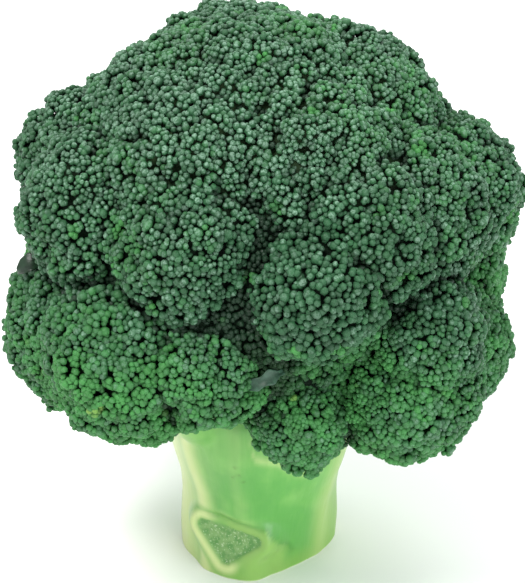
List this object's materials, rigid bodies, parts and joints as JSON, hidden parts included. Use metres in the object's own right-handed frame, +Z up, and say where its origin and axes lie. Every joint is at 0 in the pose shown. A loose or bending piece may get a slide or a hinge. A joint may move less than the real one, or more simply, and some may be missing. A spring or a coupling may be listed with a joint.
{
  "type": "broccoli head",
  "caption": "Fresh green broccoli head: a dome of merged bud-covered florets on a thick pale stalk, cut flat so that it stands.",
  "frame": {"origin": "centre of the flat cut end of the stalk, which the head stands on", "axes": "+Z up along the stalk, -Y towards the front, the side that the picture shows"},
  "size_m": [0.1529, 0.147, 0.1745],
  "materials": {
    "buds": "matt, bluish green flower buds with a thin wax bloom",
    "stalk_flesh": "satin, moist pale green flesh",
    "pale_leaf": "matt grey green leaf",
    "dark_leaf": "satin dark green leaf"
  },
  "bodies": {
    "root": {"crown": "buds", "stalk": "stalk_flesh", "bract_front": "pale_leaf", "bract_left": "dark_leaf"}
  },
  "joints": []
}
